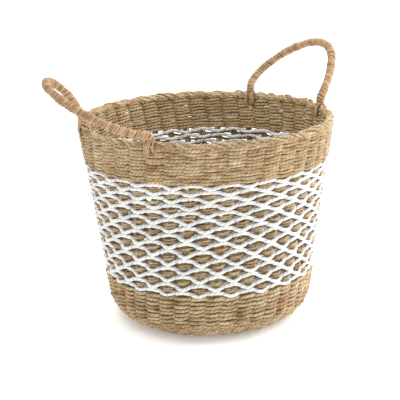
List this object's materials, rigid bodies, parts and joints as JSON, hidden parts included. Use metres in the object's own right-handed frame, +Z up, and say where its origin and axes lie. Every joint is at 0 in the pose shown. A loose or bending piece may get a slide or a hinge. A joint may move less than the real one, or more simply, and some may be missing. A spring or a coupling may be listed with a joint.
{
  "type": "storage basket",
  "caption": "Round open storage basket of twined seagrass over upright stakes, with an open white cord net round the middle and two raffia-wrapped rope handles",
  "frame": {"origin": "centre of the underside, on the floor", "axes": "+Z up along the basket's axis; +X through the middle of the right handle; +Y completes the frame"},
  "size_m": [0.5157, 0.3974, 0.4066],
  "materials": {
    "seagrass": "dry twisted seagrass cord, matt, tan with olive and brown blades",
    "stake_cord": "thicker seagrass cord of the stakes, matt, a little darker",
    "white_cord": "white twisted cord, matt",
    "core_rope": "seagrass rope, matt",
    "raffia": "raffia wound tightly, orange tan, satin"
  },
  "bodies": {
    "basket": {"base_heart": "stake_cord", "base_spokes": "stake_cord", "base_rounds": "seagrass", "stakes": "stake_cord", "foot_round": "seagrass", "lower_round_01": "seagrass", "lower_round_02": "seagrass", "lower_round_03": "seagrass", "lower_round_04": "seagrass", "lower_round_05": "seagrass", "lower_round_06": "seagrass", "lower_round_07": "seagrass", "lower_round_08": "seagrass", "lower_round_09": "seagrass", "lower_round_10": "seagrass", "lower_round_11": "seagrass", "lower_round_12": "seagrass", "lower_round_13": "seagrass", "lower_round_14": "seagrass", "white_cord_01": "white_cord", "white_cord_02": "white_cord", "white_cord_03": "white_cord", "white_cord_04": "white_cord", "white_cord_05": "white_cord", "white_cord_06": "white_cord", "white_cord_07": "white_cord", "white_cord_08": "white_cord", "white_cord_09": "white_cord", "white_cord_10": "white_cord", "white_cord_11": "white_cord", "white_cord_12": "white_cord", "white_cord_13": "white_cord", "white_cord_14": "white_cord", "white_cord_15": "white_cord", "natural_wefts": "seagrass", "upper_round_01": "seagrass", "upper_round_02": "seagrass", "upper_round_03": "seagrass", "upper_round_04": "seagrass", "upper_round_05": "seagrass", "upper_round_06": "seagrass", "upper_round_07": "seagrass", "upper_round_08": "seagrass", "upper_round_09": "seagrass", "upper_round_10": "seagrass", "upper_round_11": "seagrass", "rim_border": "seagrass", "right_handle_lashings": "raffia", "left_handle_lashings": "raffia"},
    "right_handle": {"right_handle_core": "core_rope", "right_handle_wrap": "raffia", "right_handle_knots": "raffia"},
    "left_handle": {"left_handle_core": "core_rope", "left_handle_wrap": "raffia", "left_handle_knots": "raffia"}
  },
  "joints": [
    {"name": "right_handle_swing", "type": "hinge", "parent": "basket", "child": "right_handle", "pos_m": [0.1746, 0, 0.3277], "axis": [0, 1, 0], "range_deg": [-136, 36]},
    {"name": "left_handle_swing", "type": "hinge", "parent": "basket", "child": "left_handle", "pos_m": [-0.1746, 0, 0.3277], "axis": [0, -1, 0], "range_deg": [-96, 4]}
  ]
}
